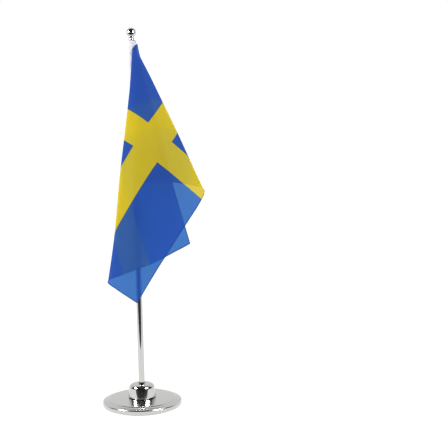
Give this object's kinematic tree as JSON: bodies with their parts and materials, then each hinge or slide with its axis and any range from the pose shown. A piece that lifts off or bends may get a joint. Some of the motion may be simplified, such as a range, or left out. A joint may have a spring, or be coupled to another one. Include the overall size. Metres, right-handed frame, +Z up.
{
  "type": "desk flag stand",
  "caption": "Desk flag stand: weighted round chromed foot with a round-shouldered hub, slim pole with a ball on top, and a small cloth flag hanging in folds from a sleeve.",
  "frame": {"origin": "on the pole's axis at table height, the centre of the foot's underside", "axes": "+Z up along the pole, the flag hangs towards +X, its front panel faces -Y"},
  "size_m": [0.1086, 0.08, 0.38],
  "materials": {
    "chrome": "polished chrome plate on steel",
    "steel": "zinc-plated steel",
    "brass": "turned brass",
    "cast_iron": "raw casting",
    "black_rubber": "matt black rubber",
    "clear_rubber": "milky silicone rubber",
    "white_cloth": "white woven polyester",
    "printed_cloth": "thin woven polyester, printed blue with a yellow cross"
  },
  "bodies": {
    "foot": {"base_shell": "chrome", "hub_knob": "chrome", "ballast_casting": "cast_iron", "bottom_plate": "steel", "base_pad": "black_rubber", "pole_socket": "brass", "socket_washer": "steel", "socket_lock_washer": "steel", "socket_nut": "brass"},
    "foot_washer": {"pole_foot_washer": "black_rubber"},
    "pole": {"pole_tube": "chrome", "pole_foot_stud": "steel", "pole_top_bush": "steel"},
    "top_washer": {"finial_washer": "black_rubber"},
    "finial": {"finial_collar": "chrome", "finial_stud": "steel", "finial_ball": "chrome"},
    "stop_ring": {"sleeve_stop_ring": "clear_rubber"},
    "flag": {"flag_sleeve": "white_cloth", "flag_cloth": "printed_cloth"}
  },
  "joints": [
    {"name": "pole_rise", "type": "slide", "parent": "foot", "child": "foot_washer", "axis": [0, 0, 1], "range_m": [0, 0.0084]},
    {"name": "pole_unscrew", "type": "hinge", "parent": "foot_washer", "child": "pole", "pos_m": [0, 0, 0.02], "axis": [0, 0, 1], "range_deg": [0, 4320]},
    {"name": "finial_rise", "type": "slide", "parent": "pole", "child": "top_washer", "axis": [0, 0, 1], "range_m": [0, 0.006]},
    {"name": "finial_unscrew", "type": "hinge", "parent": "top_washer", "child": "finial", "pos_m": [0, 0, 0.37], "axis": [0, 0, 1], "range_deg": [0, 4320]},
    {"name": "flag_lower", "type": "slide", "parent": "pole", "child": "stop_ring", "axis": [0, 0, -1], "range_m": [0, 0.07]},
    {"name": "flag_swivel", "type": "hinge", "parent": "stop_ring", "child": "flag", "pos_m": [0, 0, 0.3], "axis": [0, 0, 1], "continuous": true}
  ],
  "couplings": [
    {"joint": "pole_unscrew", "follows": "pole_rise", "rad_per_m": 8976},
    {"joint": "finial_unscrew", "follows": "finial_rise", "rad_per_m": 12566}
  ]
}
